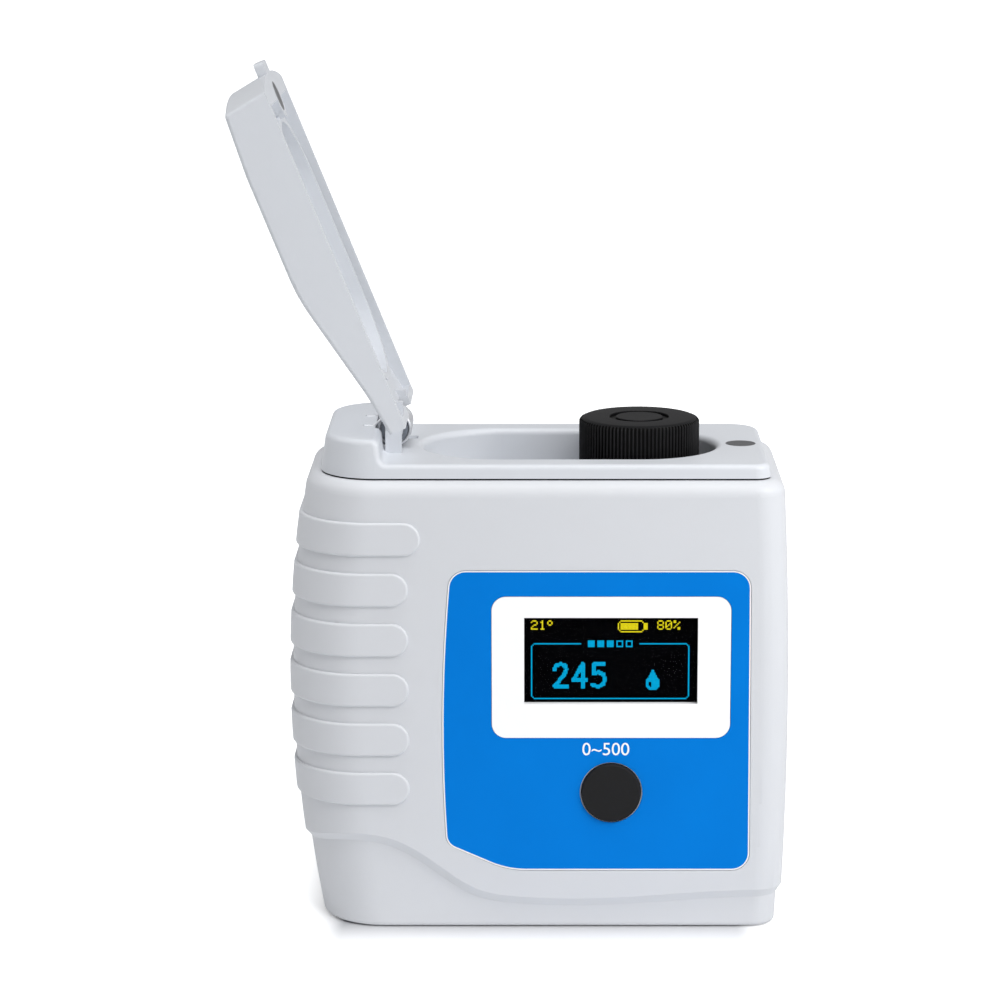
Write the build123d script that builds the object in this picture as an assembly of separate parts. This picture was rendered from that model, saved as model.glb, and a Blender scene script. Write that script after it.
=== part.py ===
from build123d import *
import os

# Hand-held water colour meter with a flip-up lid, in millimetres.
# The origin is the middle of the base on the table, +X to the right, the front faces -Y, +Z up.

# Housing
body_depth = 51.0
body_top = 92.9
belly_half = 50.5
belly_height = 50.0
left_base_half = 45.8
left_top_half = 46.9
right_base_half = 49.4
right_top_half = 49.1
left_corner = 14.0
front_right_corner = 6.0
rear_right_corner = 9.0
least_corner = 1.0
shoulder_radius = 3.0
base_edge_radius = 0.9
wall = 2.6
rear_depth = 14.5
seam_lip = 1.5
seam_lip_wall = 1.1
seam_lip_clearance = 0.1
seam_lip_reach = 41.5

# Step between the proud upper body and the skirt; its heights are those of the lower line
skirt_inset = 1.1
step_undercut = 0.12
step_drop = 2.0
step_left_height = 18.1
step_right_height = 4.8
step_crest_x = -38.5
step_foot_x = -5.0
step_side_fall = 0.77

# Grip ribs on the left side
rib_count = 6
rib_height = 6.8
rib_pitch = 10.35
rib_lowest = 29.7
rib_proud = 0.65
rib_edge = 0.5
rib_reach = -26.3
rib_top_reach = -23.8

# Top cover
cover_gap = 0.35
cover_inset = 2.7
cover_draft = 8.0
deck_rise = 2.75
cover_edge = 1.2
cover_shell = 2.2
rim_width = 3.4
rim_depth = 4.0
plug_wall = 1.6
plug_clearance = 0.3
neck_margin = 0.2
bead_height = 1.0
bead_proud = 0.5
bead_length = 10.0
bead_clearance = 0.1
bead_left_x = -18.0
bead_right_x = 22.0
block_height = 4.8
block_right = -32.2
block_lean = 0.6
block_edge = 1.5
deck_slot_x = -26.4
deck_slot_y = 6.6
deck_slot_length = 2.4
deck_slot_width = 3.0
deck_slot_depth = 0.6

# Finger well, vial and cap
vial_x = 20.5
well_radius = 15.7
well_reach = 28.6
well_depth = 8.0
well_wall = 2.0
well_edge = 1.3
vial_radius = 12.2
vial_fit = 0.1
vial_wall = 1.3
vial_base_radius = 1.5
vial_bottom = 42.0
vial_neck_gap = 0.9
vial_shoulder_height = 2.8
vial_neck_radius = 10.6
cap_radius = 12.35
cap_proud = 5.7
cap_height = 12.6
cap_top_wall = 1.6
cap_chamfer = 0.8
cap_ring_outer = 6.1
cap_ring_inner = 4.85
cap_ring_depth = 0.5
liner_thickness = 1.0
thread_clearance = 0.4

# Optical chamber
chamber_half = 15.0
chamber_corner = 4.0
chamber_floor = 2.5
collar_wall = 1.9
collar_clearance = 0.1
optic_height = 60.0
optic_boss_radius = 4.6
optic_boss_length = 5.0
window_radius = 3.0
window_thickness = 1.0
window_setback = 0.3
emitter_radius = 2.5
emitter_length = 3.8
sensor_board_size = 14.0
sensor_board_thickness = 1.2
ear_plate_thickness = 2.5
ear_plate_radius = 3.4
ear_plate_left_z = 74.0
ear_plate_right_z = 47.0
ear_plate_overhang = 3.8
peg_radius = 0.8
peg_length = 3.0
peg_inset = 1.35
peg_low_z = 46.0
peg_high_z = 80.0

# Lid; its far end leans back by a share of the height
pivot_x = -29.6
pivot_rise = 4.0
open_angle = 112.0
lid_half_width = 21.0
lid_hinge_end = -27.8
lid_far_end = 44.1
lid_end_bulge = 2.5
lid_end_lean = 0.16
lid_corner = 0.9
lid_height = 9.9
lid_far_drop = 0.06
lid_hinge_height = 3.5
lid_low_x = -19.0
lid_low_height = 4.7
lid_full_x = 4.4
lid_drop_x = 30.0
lid_roof_blend = 40.0
lid_wall = 1.9
lid_edge = 0.8
lid_seat_gap = 0.1
tip_block_x = 41.0
tab_reach = 2.45
tab_half_width = 3.6
tab_thickness = 2.0
tab_corner = 0.8
collar_left_x = -3.0
collar_radius = 17.3
collar_thickness = 1.6
collar_recess = 1.3
magnet_x = 41.4
magnet_radius = 3.1
magnet_thickness = 1.6
pad_wall = 1.4
lug_radius = 1.8
lug_inner = 5.9
lug_outer = 7.9
lug_length = 6.0
ear_inner = 8.1
ear_outer = 10.3
ear_radius = 1.65
pin_radius = 1.0
pin_fit = 0.05
pin_setback = 0.1
pin_end_wall = 0.9

# Torsion spring on its bush, in the pocket of the block
pocket_half = 8.05
pocket_radius = 3.9
spring_wire = 0.35
spring_leg = 0.38
spring_leg_bend = 0.8
spring_leg_turn = 127.0
spring_leg_proud = 0.1
spring_leg_foot_x = -33.8
spring_leg_end_x = -35.7
spring_radius = 3.2
spring_half = 5.1
bush_radius = 2.75
bush_half = 5.6
groove_x = -36.0
groove_width = 1.0
groove_clearance = 0.05
spring_cut_x = -25.4
spring_cut_half = 5.8

# Front label, window panel and display
label_depth = 0.35
label_thickness = 0.3
label_clearance = 0.12
label_left = -18.1
label_belly = -19.7
label_right = 42.4
label_right_low = 42.8
label_top = 75.15
label_bottom = 12.3
label_notch_x = -6.5
label_notch_z = 17.9
label_notch_out = 0.9
label_notch_radius = 3.0
label_corner = 3.7
label_sweep = 18.0
panel_x = 14.4
panel_z = 55.05
panel_width = 48.0
panel_height = 29.3
panel_corner = 2.9
panel_thickness = 1.2
panel_ledge = 2.2
panel_clearance = 0.1
display_x = 14.36
display_z = 56.45
display_width = 34.9
display_height = 17.8
display_border = 1.6
display_thickness = 1.5
display_gap = 0.2
display_frame_wall = 3.0

# Power button
button_x = 14.5
button_z = 28.9
button_radius = 6.05
button_fit = 0.08
button_flange = 1.1
button_flange_thickness = 1.0
button_proud = 0.7
button_edge = 0.4
button_travel = 0.8
button_stem = 1.6
switch_size = 6.2
switch_height = 1.4
boot_wall = 1.8

# Main board and its posts
board_setback = 6.3
board_thickness = 1.6
board_left = -22.0
board_right = 35.0
board_bottom = 21.0
board_top = 80.0
board_post_radius = 2.6
board_post_margin = 3.2
board_screw_length = 3.0

# Batteries, tray and door
cell_radius = 7.2
cell_length = 50.5
cell_nub_radius = 2.7
cell_nub_length = 1.2
cell_edge = 0.6
cell_clearance = 0.25
cell_end_room = 4.0
cell_shift = 1.5
cell_x = -1.5
cell_setback = 11.9
tray_wall = 1.5
tray_bottom = 6.0
tray_flange = 2.0
tray_flange_thickness = 1.5
door_margin_x = 3.0
door_margin_z = 2.4
door_corner = 3.0
door_clearance = 0.15
door_tab_radius = 4.6
door_tab_rise = 0.6
door_screw_fit = 0.05
door_screw_margin = 0.2
door_seal_height = 0.6
door_seal_width = 1.2
door_seal_margin = 1.6
contact_thickness = 0.4
contact_width = 9.0
dimple_radius = 2.2
leaf_clearance = 0.05
leaf_foot = 4.9
leaf_rise = 0.8
leaf_tip = 3.6
leaf_hook = 2.0
leaf_bend = 0.7

# Screws
screw_radius = 1.5
screw_head_radius = 2.8
screw_head_height = 2.0
screw_length = 16.0
screw_sink = 6.5
screw_recess_clearance = 0.3
boss_wall = 2.1
screw_top_z = 80.0
screw_bottom_z = 13.5
screw_left_x = -38.4
screw_right_x = 40.6
small_screw_radius = 1.1
small_head_radius = 2.0
small_head_height = 1.3
small_screw_length = 7.0

# Sizes worked out from the ones above
half_depth = body_depth / 2
front_y = -half_depth
board_front = front_y + board_setback
cell_y = half_depth - cell_setback
screw_seat_y = half_depth - screw_sink
seam_y = half_depth - rear_depth
inner_front_y = front_y + wall
inner_rear_y = half_depth - wall
cover_half_depth = half_depth - cover_inset
cover_foot = body_top + cover_gap
deck_height = cover_foot + deck_rise
block_top = deck_height + block_height
pivot_z = deck_height + pivot_rise
rim_inset = cover_inset + rim_width
plug_inset = rim_inset + plug_clearance
plug_bottom = body_top - rim_depth - 1.4 * bead_height
well_left_x = vial_x - well_reach
well_floor = deck_height - well_depth
well_under = well_floor - well_wall
bore_radius = vial_radius + vial_fit
cap_top = deck_height + cap_proud
cap_bottom = cap_top - cap_height
liner_top = cap_top - cap_top_wall
vial_top = liner_top - liner_thickness
vial_shoulder = cap_bottom - vial_neck_gap - vial_shoulder_height
collar_outer = bore_radius + collar_wall
chamber_bottom = vial_bottom - chamber_floor
chamber_left = vial_x - chamber_half
chamber_right = vial_x + chamber_half
lid_rim = deck_height + lid_seat_gap
spring_leg_z = block_top + spring_leg_proud - spring_leg
recess_y = front_y + label_depth
panel_front_y = recess_y - label_thickness
panel_back_y = panel_front_y + panel_thickness
display_front_y = panel_back_y + display_gap
display_back_y = display_front_y + display_thickness
switch_front_y = board_front - switch_height
button_front_y = front_y - button_proud
button_back_y = inner_front_y + button_flange_thickness
board_back = board_front + board_thickness
tray_left = cell_x - cell_length / 2 - cell_end_room
tray_right = cell_x + cell_length / 2 + cell_end_room
tray_front = cell_y - cell_radius - cell_clearance
lower_cell_z = tray_bottom + cell_clearance + cell_radius
upper_cell_z = lower_cell_z + 2 * cell_radius + cell_clearance
tray_top = upper_cell_z + cell_radius + cell_clearance
door_inner_y = inner_rear_y
ledge_y = door_inner_y - door_seal_height
door_left = tray_left - door_margin_x
door_right = tray_right + door_margin_x
door_bottom = tray_bottom - door_margin_z
door_top = tray_top + door_margin_z
door_tab_x = cell_x
door_tab_z = door_top + door_tab_rise
door_screw_seat_y = half_depth - small_head_height - door_screw_margin
far = 200.0


# Helpers for plain shapes
def box_between(x1, x2, y1, y2, z1, z2):
    middle = ((x1 + x2) / 2, (y1 + y2) / 2, (z1 + z2) / 2)
    return Pos(*middle) * Box(x2 - x1, y2 - y1, z2 - z1)


def upright(x, y, z1, z2, radius):
    return Pos(x, y, (z1 + z2) / 2) * Cylinder(radius, z2 - z1)


def along_y(x, z, y1, y2, radius):
    return Pos(x, (y1 + y2) / 2, z) * Rot(90, 0, 0) * Cylinder(radius, y2 - y1)


def along_x(y, z, x1, x2, radius):
    return Pos((x1 + x2) / 2, y, z) * Rot(0, 90, 0) * Cylinder(radius, x2 - x1)


def slab(z1, z2):
    return box_between(-far, far, -far, far, z1, z2)


def behind(y):
    return box_between(-far, far, y, far, -far, far)


def before(y):
    return box_between(-far, far, -far, y, -far, far)


def at(x, z):
    return (x, 0, z)


def loop(points):
    # A closed face in the front elevation from its corner points
    return make_face(Polyline(*[at(x, z) for x, z in points], close=True))


def through_depth(face, half):
    # Extrudes a face of the front elevation from the rear to the front
    return extrude(Pos(0, half, 0) * face, amount=2 * half, dir=(0, -1, 0))


def plate(face, y1, y2):
    # A face of the front elevation given a thickness from y1 to y2
    return extrude(Pos(0, y2, 0) * face, amount=y2 - y1, dir=(0, -1, 0))


def corner_near(face, x, z):
    return face.vertices().sort_by_distance(at(x, z))[0]


def stadium(x1, x2, radius, z1, z2):
    # An upright block with round ends centred at x1 and x2 on the middle plane
    middle = box_between(x1, x2, -radius, radius, z1, z2)
    return middle + upright(x1, 0, z1, z2, radius) + upright(x2, 0, z1, z2, radius)


# The outer form of the housing, moved inwards by inset
def housing_form(inset):
    low_left = at(-left_base_half + inset, 0)
    top_left = at(-left_top_half + inset, body_top)
    low_right = at(right_base_half - inset, 0)
    top_right = at(right_top_half - inset, body_top)
    outline = [
        ThreePointArc(low_left, at(-belly_half + inset, belly_height), top_left),
        Line(top_left, top_right),
        ThreePointArc(top_right, at(belly_half - inset, belly_height), low_right),
        Line(low_right, low_left),
    ]
    half = half_depth - inset
    form = through_depth(make_face(outline), half)
    form = round_side(form, -far, 0, -far, far, left_corner - inset)
    form = round_side(form, 0, far, -far, 0.01 - half, front_right_corner - inset)
    return round_side(form, 0, far, half - 0.01, far, rear_right_corner - inset)


def round_side(form, x1, x2, y1, y2, radius):
    arcs = form.edges().filter_by(GeomType.CIRCLE)
    arcs = arcs.filter_by_position(Axis.X, x1, x2).filter_by_position(Axis.Y, y1, y2)
    return fillet(arcs, max(radius, least_corner))


# Everything above the swept line where the skirt begins
def above_step():
    drop = step_left_height - step_right_height
    span = step_foot_x - step_crest_x
    side = belly_half + 10
    left_end = at(-side, step_left_height - drop * step_side_fall)
    right_end = at(side, step_right_height)

    def on_wave(along, fallen):
        # Shares of the way from crest to foot and of the fall between them
        return at(step_crest_x + span * along, step_left_height - drop * fallen)

    wave = Spline(
        left_end,
        on_wave(-0.27, 0.165),
        on_wave(0, 0),
        on_wave(0.24, 0.08),
        on_wave(0.5, 0.47),
        on_wave(0.78, 0.9),
        on_wave(1, 1),
        on_wave(1.75, 1),
        right_end,
    )
    top = body_top + 1
    outline = [
        wave,
        Line(right_end, at(side, top)),
        Line(at(side, top), at(-side, top)),
        Line(at(-side, top), left_end),
    ]
    return through_depth(make_face(outline), half_depth + 5)


# One grip rib: a band with round ends that wraps round the left side
def grip_rib(index):
    height = rib_lowest + index * rib_pitch
    reach = rib_top_reach if index == rib_count - 1 else rib_reach
    radius = rib_height / 2
    centre = reach - radius
    side = half_depth + 5
    band = box_between(-far, centre, -side, side, height - radius, height + radius)
    band += along_y(centre, height, -side, side, radius)
    rib = housing_form(-rib_proud) & band
    return fillet(rib.edges().filter_by(lambda edge: is_rib_rim(edge, centre)), rib_edge)


def is_rib_rim(edge, centre):
    middle = edge @ 0.5
    runs_through = edge.geom_type == GeomType.LINE and abs((edge % 0.5).Y) > 0.9
    if runs_through:
        return middle.X < -belly_half + 6
    level = abs((edge @ 0).Z - (edge @ 1).Z) < 0.01
    return level or middle.X > centre + 0.1


# The whole outside: proud upper body with its slanted lower edge, skirt and ribs
def housing_outer():
    form = housing_form(0)
    form = fillet(form.edges().group_by(Axis.Z)[-1], shoulder_radius)
    upper = form & above_step()
    under = upper.faces().filter_by(lambda face: face.geom_type == GeomType.EXTRUSION)[0]
    slant = skirt_inset + step_undercut
    upper = chamfer(under.outer_wire().edges(), slant, step_drop, reference=under)
    skirt = housing_form(skirt_inset) & slab(-1, body_top / 2)
    skirt = fillet(skirt.edges().group_by(Axis.Z)[0], base_edge_radius)
    outer = upper + skirt
    for index in range(rib_count):
        outer += grip_rib(index)
    return outer


def housing_cavity():
    room = housing_form(wall) & slab(wall, body_top - rim_depth)
    mouth = housing_form(rim_inset) & slab(body_top - rim_depth - 1, body_top + 1)
    return room + mouth


def screw_places():
    return [
        ("top_left", screw_left_x, screw_top_z),
        ("top_right", screw_right_x, screw_top_z),
        ("bottom_left", screw_left_x, screw_bottom_z),
        ("bottom_right", screw_right_x, screw_bottom_z),
    ]


def board_places():
    left = board_left + board_post_margin
    right = board_right - board_post_margin
    low = board_bottom + board_post_margin
    high = board_top - board_post_margin
    return [(left, low), (right, low), (left, high), (right, high)]


def chamber_ear_places():
    left_x = chamber_left - ear_plate_overhang
    right_x = chamber_right + ear_plate_overhang
    return [(left_x, ear_plate_left_z), (right_x, ear_plate_right_z)]


# Outline of the blue label, moved outwards by margin
def label_outline(margin):
    left = label_left - margin
    right = label_right + margin
    right_low = label_right_low + margin
    top = label_top + margin
    bottom = label_bottom - margin
    middle_z = (label_top + label_notch_z) / 2
    notch_x = left - label_notch_out
    notch = at(notch_x, label_notch_z)
    outline = [
        Line(at(left, top), at(right, top)),
        Line(at(right, top), at(right_low, bottom)),
        Line(at(right_low, bottom), at(label_notch_x, bottom)),
        Line(at(label_notch_x, bottom), notch),
        ThreePointArc(notch, at(label_belly - margin, middle_z), at(left, top)),
    ]
    face = make_face(outline)
    for x, z in ((left, top), (right, top), (right_low, bottom)):
        face = fillet(corner_near(face, x, z), label_corner + margin)
    face = fillet(corner_near(face, label_notch_x, bottom), label_sweep)
    return fillet(corner_near(face, notch_x, label_notch_z), label_notch_radius)


def rounded_front(x, z, width, height, radius):
    face = loop([(x - width / 2, z - height / 2), (x + width / 2, z - height / 2),
                 (x + width / 2, z + height / 2), (x - width / 2, z + height / 2)])
    return fillet(face.vertices(), radius)


def panel_outline(margin):
    return rounded_front(panel_x, panel_z, panel_width + 2 * margin,
                         panel_height + 2 * margin, panel_corner + margin)


# Front housing with bosses, posts and the seats for label, panel and button
def body_shell(outer, cavity):
    shell = (outer - cavity) & before(seam_y)
    limit = housing_form(wall / 2)
    posts = Part()
    for _, x, z in screw_places():
        posts += along_y(x, z, front_y, seam_y, screw_radius + boss_wall)
    for x, z in board_places():
        posts += along_y(x, z, front_y, board_front, board_post_radius)
    for x, z in chamber_ear_places():
        posts += along_y(x, z, front_y, -chamber_half, ear_plate_radius)
    shell += posts & limit
    shell -= plate(label_outline(0), front_y - 1, recess_y)
    shell -= plate(panel_outline(panel_clearance), front_y - 1, panel_back_y)
    shell -= plate(panel_outline(-panel_ledge), front_y - 1, inner_front_y + 1)
    shell -= along_y(button_x, button_z, front_y - 1, inner_front_y + 1,
                     button_radius + button_fit)
    for _, x, z in screw_places():
        shell -= along_y(x, z, screw_seat_y - screw_length - 1, seam_y + 1, screw_radius)
    for x, z in board_places():
        tip = board_back - board_screw_length - board_thickness
        shell -= along_y(x, z, tip, board_front + 1, small_screw_radius)
    for x, z in chamber_ear_places():
        tip = ear_plate_thickness - chamber_half - small_screw_length
        shell -= along_y(x, z, tip, 1 - chamber_half, small_screw_radius)
    return shell


# Door outline in the rear elevation, moved outwards by margin
def door_outline(margin):
    face = loop([(door_left - margin, door_bottom - margin),
                 (door_right + margin, door_bottom - margin),
                 (door_right + margin, door_top + margin),
                 (door_left - margin, door_top + margin)])
    face = fillet(face.vertices(), door_corner + margin)
    tab = Pos(door_tab_x, 0, door_tab_z) * Rot(90, 0, 0) * Circle(door_tab_radius + margin)
    return face + tab


def tray_room(y1, y2):
    return box_between(tray_left, tray_right, y1, y2, tray_bottom, tray_top)


# Rear housing with the battery tray, the door's seat and counterbored screw bosses
def rear_cover(outer, cavity):
    shell = (outer - cavity) & behind(seam_y)
    limit = housing_form(wall / 2)
    added = Part()
    for _, x, z in screw_places():
        added += along_y(x, z, seam_y, half_depth, screw_head_radius + boss_wall / 2)
    flange = plate(door_outline(tray_flange), ledge_y - tray_flange_thickness, door_inner_y + 0.2)
    added += flange
    added += box_between(tray_left - tray_wall, tray_right + tray_wall, tray_front - tray_wall,
                         ledge_y, tray_bottom - tray_wall, tray_top + tray_wall)
    added += along_y(door_tab_x, door_tab_z, cell_y, ledge_y, small_screw_radius + boss_wall)
    shell += added & limit
    shell += seam_lips()
    shell -= tray_room(tray_front, far)
    shell -= plate(door_outline(door_clearance), ledge_y, far)
    shell -= along_y(door_tab_x, door_tab_z, cell_y + 1, far, small_screw_radius + door_screw_fit)
    for _, x, z in screw_places():
        shell -= along_y(x, z, screw_seat_y, far, screw_head_radius + screw_recess_clearance)
        shell -= along_y(x, z, seam_y - 1, screw_seat_y + 1, screw_radius)
    return shell


# Strips inside both flanks that guide the two housings together
def seam_lips():
    inner = housing_form(wall + seam_lip_clearance + seam_lip_wall)
    strip = (housing_form(wall + seam_lip_clearance) - inner) & before(seam_y + 1)
    root = (housing_form(wall / 2) - inner) & behind(seam_y)
    half = seam_lip_reach
    lips = (strip + root) & box_between(-far, far, seam_y - seam_lip, seam_y + 1,
                                        tray_top + 4, screw_top_z - 8)
    return lips - box_between(-half, half, -far, far, -far, far)


# Cover with deck, hinge block, ears, spring pocket and finger well
def top_cover():
    cover = cover_blank() + cover_plug()
    well_block = stadium(well_left_x, vial_x, well_radius + well_wall, well_under, deck_height - 1)
    cover += well_block
    cover -= block_hollow()
    cover -= stadium(well_left_x, vial_x, well_radius, well_floor, far)
    rim = cover.edges().filter_by(lambda edge: is_well_rim(edge))
    cover = fillet(rim, well_edge)
    cover -= upright(vial_x, 0, well_under - 1, well_floor + 1, collar_outer + collar_clearance)
    cover -= upright(magnet_x, 0, deck_height - magnet_thickness, far, magnet_radius)
    cover -= along_y(pivot_x, pivot_z, -pocket_half, pocket_half, pocket_radius)
    for side in (-1, 1):
        y = side * spring_half
        cover -= box_between(groove_x, pivot_x, y - groove_width / 2, y + groove_width / 2,
                             spring_leg_z - spring_leg - groove_clearance, far)
    cover -= Pos(deck_slot_x, deck_slot_y, deck_height) * Box(
        deck_slot_length, deck_slot_width, 2 * deck_slot_depth)
    for side in (-1, 1):
        cover += hinge_ear(side)
    return cover - along_y(pivot_x, pivot_z, pin_end_wall - ear_outer, ear_outer + 1, pin_radius)


# Drafted plan of the cover, cut down to the deck beside the block
def cover_blank():
    left = -left_top_half + cover_inset
    right = right_top_half - cover_inset
    half = cover_half_depth
    plan = make_face(Polyline((left, -half), (right, -half), (right, half), (left, half),
                              close=True))
    radii = [
        (left, -half, left_corner - cover_inset),
        (left, half, left_corner - cover_inset),
        (right, -half, front_right_corner - cover_inset),
        (right, half, rear_right_corner - cover_inset),
    ]
    for x, y, radius in radii:
        plan = fillet(plan.vertices().sort_by_distance((x, y, 0))[0], radius)
    blank = extrude(Pos(0, 0, cover_foot) * plan, amount=block_top - cover_foot, taper=cover_draft)
    foot_x = block_right + block_lean
    away = loop([(far, deck_height), (foot_x, deck_height), (block_right, block_top),
                 (block_right - 4, block_top), (block_right - 4, far), (far, far)])
    away = fillet(corner_near(away, foot_x, deck_height), block_edge)
    away = fillet(corner_near(away, block_right, block_top), block_edge)
    blank -= through_depth(away, half_depth)
    return fillet(blank.edges().filter_by(lambda edge: is_cover_rim(edge)), cover_edge)


def is_cover_rim(edge):
    middle = edge @ 0.5
    slope = edge % 0.5
    if middle.Z < cover_foot + 0.3:
        return False
    if edge.geom_type == GeomType.LINE and abs(slope.Y) > 0.9:
        return middle.X < -left_top_half + cover_inset + 4 or middle.X > right_top_half - cover_inset - 2
    corner_seam = -left_top_half + left_corner + 0.1
    if abs(slope.Z) > 0.9 and (middle.X < corner_seam or middle.X > 0):
        return False
    return True


def is_well_rim(edge):
    middle = edge @ 0.5
    on_deck = abs(middle.Z - deck_height) < 0.01
    inside_x = well_left_x - well_radius - 0.1 < middle.X < vial_x + well_radius + 0.1
    return on_deck and inside_x and abs(middle.Y) < well_radius + 0.1


# Two rooms under the block, one on each side of the spring pocket
def block_hollow():
    left = -left_top_half + plug_inset + plug_wall
    right = block_right - cover_shell - block_lean
    half = cover_half_depth - left_corner / 2
    near = pocket_half + 1
    room = box_between(left, right, -half, half, -far, block_top - cover_shell)
    return room - box_between(-far, far, -near, near, -far, far)


# Ring that plugs into the mouth of the body, with snap beads under its rim
def cover_plug():
    inner = housing_form(plug_inset + plug_wall)
    plug = (housing_form(plug_inset) - inner) & slab(plug_bottom, body_top)
    neck = plan_slice(plug_inset + neck_margin) - plan_slice(plug_inset + plug_wall - neck_margin)
    plug += neck & slab(body_top - 1, cover_foot + cover_shell / 4)
    bead_top = body_top - rim_depth - bead_clearance
    beads = housing_form(plug_inset - bead_proud) - inner
    beads = beads & slab(bead_top - bead_height, bead_top)
    half = bead_length / 2
    windows = box_between(-far, far, -half, half, -far, far)
    for x in (bead_left_x, bead_right_x):
        windows += box_between(x - half, x + half, -far, far, -far, far)
    return plug + (beads & windows)


def plan_slice(inset):
    # The housing's plan at its top, carried straight up
    section = (housing_form(inset) & slab(body_top - 2, body_top - 1)).faces().sort_by(Axis.Z)[-1]
    return extrude(section, amount=3, dir=(0, 0, 1))


def hinge_ear(side):
    y1, y2 = sorted((side * ear_inner, side * ear_outer))
    ear = box_between(pivot_x - ear_radius, pivot_x + ear_radius, y1, y2,
                      deck_height - 1, pivot_z)
    return ear + along_y(pivot_x, pivot_z, y1, y2, ear_radius)


def top_gasket():
    ring = plan_slice(cover_inset + 0.3) - plan_slice(rim_inset - 0.3)
    return ring & slab(body_top, cover_foot)


# Lid drawn closed, moved inwards by inset; the inner form reaches below the rim
def lid_form(inset, bottom):
    left = lid_hinge_end + inset
    z = lid_rim - inset
    far_end = lid_far_end + 20
    far_height = lid_height - lid_far_drop * (far_end - lid_drop_x)
    profile = loop([
        (left, bottom),
        (left, z + lid_hinge_height),
        (lid_low_x, z + lid_low_height),
        (lid_full_x, z + lid_height),
        (lid_drop_x, z + lid_height),
        (far_end, z + far_height),
        (far_end, bottom),
    ])
    for x, height in ((lid_low_x, lid_low_height), (lid_full_x, lid_height),
                      (lid_drop_x, lid_height)):
        profile = fillet(corner_near(profile, x, z + height), lid_roof_blend)
    half = lid_half_width - inset
    column = lid_end_cone(inset, bottom) & box_between(left, far, -half, half, bottom, far)
    if lid_corner > inset:
        corners = column.edges().filter_by_position(Axis.X, lid_drop_x, far)
        corners = corners.filter_by(lambda edge: abs((edge % 0.5).Z) > 0.9)
        column = fillet(corners, lid_corner - inset)
    return through_depth(profile, half) & column


# Wide cone whose flank is the lid's bowed and leaning far end
def lid_end_cone(inset, bottom):
    height = 30
    bow_radius = (lid_half_width**2 + lid_end_bulge**2) / (2 * lid_end_bulge)
    centre_x = lid_far_end + lid_end_bulge - bow_radius
    low_radius = bow_radius - inset + (lid_rim - bottom) * lid_end_lean
    cone = Cone(low_radius, low_radius - height * lid_end_lean, height)
    return Pos(centre_x, 0, bottom + height / 2) * cone


def lid_closed():
    outer = lid_form(0, lid_rim)
    outer = fillet(outer.edges().filter_by(lambda edge: is_lid_rim(edge)), lid_edge)
    roof_room = lid_form(lid_wall, lid_rim - 5)
    lid = outer - roof_room
    lid += lid_collar()
    lid += magnet_pad()
    lid += thumb_tab()
    lid -= box_between(lid_hinge_end - 1, spring_cut_x, -spring_cut_half, spring_cut_half,
                       lid_rim - 1, far)
    for side in (-1, 1):
        lid += hinge_lug(side)
    lid -= upright(magnet_x, 0, lid_rim - 1, lid_rim + magnet_thickness, magnet_radius)
    for side in (-1, 1):
        middle = side * (lug_inner + lug_outer) / 2
        lid -= along_y(pivot_x, pivot_z, middle - 4, middle + 4, pin_radius + pin_fit)
    return lid


def is_lid_rim(edge):
    middle = edge @ 0.5
    slope = edge % 0.5
    if middle.Z < lid_rim + 0.5 or abs(slope.Z) > 0.9:
        return False
    crosses = edge.geom_type == GeomType.LINE and abs(slope.Y) > 0.9
    return not crosses


# Light baffle that stands round the well when the lid is down
def lid_collar():
    bottom = lid_rim + collar_recess
    top = lid_rim + lid_height
    ring = stadium(collar_left_x, vial_x, collar_radius, bottom, top)
    ring -= stadium(collar_left_x, vial_x, collar_radius - collar_thickness, bottom - 1, top + 1)
    return ring & lid_form(lid_wall / 2, lid_rim)


# Solid tip of the lid with a round pad for the magnet
def magnet_pad():
    radius = magnet_radius + pad_wall
    top = lid_rim + lid_height
    pad = upright(magnet_x, 0, lid_rim, top, radius)
    pad += box_between(tip_block_x, far, -far, far, lid_rim, top)
    return pad & lid_form(lid_wall / 2, lid_rim)


def thumb_tab():
    end = lid_far_end + lid_end_bulge + tab_reach
    tab = box_between(lid_far_end, end, -tab_half_width, tab_half_width,
                      lid_rim, lid_rim + tab_thickness)
    tips = tab.edges().filter_by(Axis.Z).filter_by_position(Axis.X, end - 0.1, end + 0.1)
    return fillet(tips, tab_corner)


# Lug that carries the lid on the pin, on the inner side of each ear
def hinge_lug(side):
    y1, y2 = sorted((side * lug_inner, side * lug_outer))
    bar = Pos(lug_length / 2, 0, 0) * Box(lug_length, y2 - y1, 2 * lug_radius)
    bar = Pos(pivot_x, (y1 + y2) / 2, pivot_z) * Rot(0, open_angle - 90, 0) * bar
    lug = bar + along_y(pivot_x, pivot_z, y1, y2, lug_radius)
    return lug & slab(lid_rim, far)


def opened(shape):
    # Turns a closed lid piece up to where the lid stands open
    return shape.rotate(Axis((pivot_x, 0, pivot_z), (0, 1, 0)), -open_angle)


def lid_magnet():
    return upright(magnet_x, 0, lid_rim, lid_rim + magnet_thickness, magnet_radius)


def deck_magnet():
    return upright(magnet_x, 0, deck_height - magnet_thickness, deck_height, magnet_radius)


# Pin pushed in from the rear; the front ear is closed in front of it
def hinge_pin():
    return along_y(pivot_x, pivot_z, pin_end_wall - ear_outer, ear_outer - pin_setback, pin_radius)


def spring_bush():
    bush = along_y(pivot_x, pivot_z, -bush_half, bush_half, bush_radius)
    return bush - along_y(pivot_x, pivot_z, -far, far, pin_radius + pin_fit)


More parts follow.
